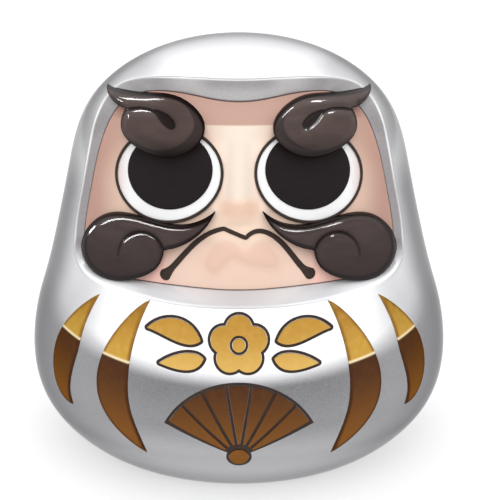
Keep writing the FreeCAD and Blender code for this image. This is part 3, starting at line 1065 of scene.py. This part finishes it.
def mouth_part():
    centre = np.concatenate([spline(placed(points), 200)[:-1] for points in mouth_curve])
    centre = evenly(centre, 0.6 * MM) - (0, mouth_drop)
    share = np.linspace(0, 1, len(centre))
    from_end = np.minimum(share, 1 - share) * 2
    blob = np.clip(1 - from_end / 0.12, 0, 1) ** 1.5
    half = (0.65 + 0.35 * (1 - from_end) + 0.9 * blob) * MM
    along = unit(np.gradient(centre, axis=0))
    normal = left_of(along)
    upper, lower = centre + normal * half[:, None], centre - normal * half[:, None]
    right = cap(centre[-1], along[-1], normal[-1], half[-1])
    left = cap(centre[0], along[0], normal[0], -half[0])
    loop = np.concatenate([upper, right, lower[::-1], left])
    return slab([loop], face_front, rise=0.45 * MM, edge=(0.4 * MM, 0.35 * MM), spacing=0.6 * MM)


def eye_parts():
    """The rim, the white and the pupil of the left eye."""
    centre, pupil_place = placed([eye_centre, pupil_centre])
    inner = [size - 2 * eye_rim_width for size in eye_size]
    white_size = [size + 0.2 * MM for size in inner]
    rim = [ellipse(centre, size, eye_tilt, 0.5 * MM) for size in (eye_size, inner)]
    white = [ellipse(centre, white_size, eye_tilt, 0.8 * MM)]
    pupil = [ellipse(pupil_place, pupil_size, pupil_tilt, 0.8 * MM)]
    return (
        slab(rim, face_front, rise=0.9 * MM, edge=(0.45 * MM, 0.4 * MM), spacing=0.4 * MM),
        slab(white, face_front, rise=0.4 * MM, edge=(0.6 * MM, 0.2 * MM), spacing=1.5 * MM),
        slab(pupil, face_front, rise=0.9 * MM, edge=(0.8 * MM, 0.4 * MM), spacing=1.5 * MM),
    )


def stripe_part(curves, turn):
    flat_part = slab([loop_of(curves, 0.8 * MM)], body_front, rise=0.4 * MM, sink=0.8 * MM,
                     edge=(0.5 * MM, 0.35 * MM), spacing=1.2 * MM)
    return turned(flat_part, -turn)


# ---- Assembly


def pair(name, part, material):
    """A left and a right piece for two CAD nodes. The name has {} for the side."""
    shell_object(name.format("l"), part, material, [name.format("left")])
    shell_object(name.format("r"), mirrored_part(part), material, [name.format("right")])


shell_object("body", body_part(), silver_lacquer(), ["body_shell"])
shell_object("face", face_part(), skin_paint(), ["face_panel"])

line_black = dark_paint("line_black", rgb(52, 43, 40), rgb(70, 58, 52), 0.45)
pupil_black = dark_paint("pupil_black", rgb(31, 26, 27), rgb(36, 30, 30), 0.6)
lacquer = brow_lacquer()
eye_rim, eye_white, eye_pupil = eye_parts()
pair("eye_rim_{}", eye_rim, line_black)
pair("eye_white_{}", eye_white, eye_enamel())
pair("eye_pupil_{}", eye_pupil, pupil_black)

pair("eyebrow_{}", brow_part(), lacquer)
pair("moustache_{}", moustache_part(), lacquer)

shell_object("mouth", mouth_part(), line_black, ["mouth_line"])

gold = gold_leaf("stripe_gold", boundary=48.4 * MM, top=68 * MM, bottom=14 * MM, edged=True)
pair("stripe_{}_outer", stripe_part(stripe_outer, stripe_outer_turn), gold)
pair("stripe_{}_inner", stripe_part(stripe_inner, stripe_inner_turn), gold)

kept = {
    "base_weight": plain("clay", rgb(150, 110, 84), rgb(120, 84, 62), 120, 0.9),
    "base_disc": plain("base_card", rgb(176, 154, 122), rgb(150, 128, 98), 400, 0.95),
    "upper_crest": gold_leaf("crest_gold", 40 * MM, 66 * MM, 20 * MM, pale_gold),
    "lower_crest": gold_leaf("fan_gold", 50 * MM, 62 * MM, 15 * MM),
    "upper_crest_border": line_black,
    "lower_crest_border": line_black,
}
for node, material in kept.items():
    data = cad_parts[node].data
    data.materials.clear()
    data.materials.append(material)

# ---- Floor, light and camera

floor_reach = 6.0
camera_elevation = 16.0
camera_distance = 515.45 * MM
camera_aim = Vector((-0.15 * MM, 0, 70.2 * MM))
face_middle = Vector((0, -60 * MM, 100 * MM))

# Highlights: name, the piece that shows it, the bar's two ends, its width and its glow.
lamps = (
    ("brow_bar", "eyebrow_l", (-0.55, 0.5, 0.95), (0.08, 0.5, 0.95), 0.1, 80),
    ("brow_dot", "eyebrow_l", (-0.77, 0.08, 0.7), (-0.77, 0.38, 0.7), 0.07, 110),
    ("brow_arc_r", "eyebrow_r", (-0.24, 0.06, 0.97), (-0.02, 0.28, 0.96), 0.1, 80),
    ("brow_dot_r", "eyebrow_r", (0.25, 0.31, 0.9), (0.35, 0.31, 0.9), 0.08, 110),
    ("moustache_bar", "moustache_l", (-1.0, 0.08, 0.42), (-0.2, 0.0, 1.1), 0.2, 70),
    ("moustache_top", "moustache_l", (-0.2, -0.1, 1.1), (0.22, -0.17, 1.08), 0.18, 70),
    ("moustache_dot", "moustache_l", (-0.87, 0.38, 0.28), (-0.78, 0.52, 0.27), 0.12, 90),
    ("moustache_tail_r", "moustache_r", (0.5, -0.31, 0.84), (0.32, -0.1, 0.96), 0.14, 70),
    ("moustache_fold_r", "moustache_r", (-1.0, 0.08, 0.42), (-0.2, 0.0, 1.1), 0.16, 70),
)


def floor():
    """A pale floor whose glow softens the doll's shadow."""
    corners = [(x * floor_reach, y * floor_reach, 0) for x, y in ((-1, -1), (1, -1), (1, 1), (-1, 1))]
    mesh = bpy.data.meshes.new("floor")
    mesh.from_pydata(corners, [], [(0, 1, 2, 3)])
    paint = Paint("floor_white", Roughness=0.7, Specular_IOR_Level=0.1, Emission_Strength=0.4)
    mottle = paint.mix(paint.noise(8), rgb(192, 192, 192), rgb(188, 188, 188))
    mesh.materials.append(paint.finish(mottle))
    piece = placed_object("floor", mesh)


def gloss_light(name, piece, start, end, width, glow):
    """A bar of light that shows only as a highlight on one piece."""
    start, end = Vector(start), Vector(end)
    along = (end - start).normalized()
    away = (start + end) / 2 - face_middle
    away = (away - along * away.dot(along)).normalized()
    data = bpy.data.lights.new(name, "AREA")
    data.shape = "RECTANGLE"
    data.size, data.size_y = (end - start).length, width
    data.energy = glow * math.pi * data.size * width
    lamp = placed_object(name, data)
    turn = Matrix((along, away.cross(along), away)).transposed().to_4x4()
    lamp.matrix_world = Matrix.Translation((start + end) / 2) @ turn
    lamp.visible_diffuse = False
    lit = bpy.data.collections.new(f"{name}_on")
    lit.objects.link(bpy.data.objects[piece])
    lamp.light_linking.receiver_collection = lit


def reflected_room(nodes, x, y, height):
    """What reflections see: a dim room, lit in front, behind and above."""
    reach = nodes.math("SQRT", nodes.add(nodes.times(x, x), nodes.times(y, y), 1e-6))
    ahead = nodes.math("DIVIDE", nodes.times(y, -1.0), reach)
    room = nodes.ramp(height, 0.05, 0.6, 0.2, 0.4)
    front = nodes.times(nodes.between(height, 0.0, 0.45, 0.05), nodes.ramp(ahead, -0.3, 0.3), 1.2)
    behind = nodes.times(nodes.ramp(height, 0.12, 0.38, 0.45, 1.2), nodes.ramp(ahead, 0.2, -0.3))
    overhead = nodes.times(nodes.ramp(height, 0.65, 0.85), 0.6)
    return nodes.add(room, front, behind, overhead)


def even_light(nodes, y, height):
    """What lights matt paint: the sky, and a soft light above and in front."""
    sky = nodes.ramp(height, 0.0, 1.0, 0.46, 1.15)
    toward_light = nodes.add(nodes.times(height, 0.8), nodes.times(y, -0.6))
    return nodes.add(sky, nodes.ramp(toward_light, 0.7, 1.0, 0.0, 1.85))


def studio_walls():
    """A room for reflections, and an even light for matt paint."""
    sky = bpy.data.worlds.new("studio")
    sky.use_nodes = True
    nodes = Nodes(sky.node_tree)
    direction = nodes.new("TexCoord").outputs["Generated"]
    axes = nodes.new("SeparateXYZ")
    nodes.link(direction, axes.inputs[0])
    x, y, height = axes.outputs
    reflected = reflected_room(nodes, x, y, height)
    is_matt = nodes.new("LightPath").outputs["Is Diffuse Ray"]
    extra = nodes.times(is_matt, nodes.math("SUBTRACT", even_light(nodes, y, height), reflected))
    background = nodes.tree.nodes["Background"]
    background.inputs["Color"].default_value = (1, 1, 1, 1)
    nodes.link(nodes.add(reflected, extra), background.inputs["Strength"])
    bpy.context.scene.world = sky


def camera():
    data = bpy.data.cameras.new("camera")
    data.lens, data.sensor_width = 100, 36
    lens = placed_object("camera", data)
    lift = math.radians(camera_elevation)
    lens.location = camera_aim + Vector((0, -math.cos(lift), math.sin(lift))) * camera_distance
    lens.rotation_euler = (math.radians(90) - lift, 0, 0)
    bpy.context.scene.camera = lens


floor()
studio_walls()
for lamp in lamps:
    gloss_light(*lamp)
camera()
bpy.context.scene.view_settings.view_transform = "Standard"
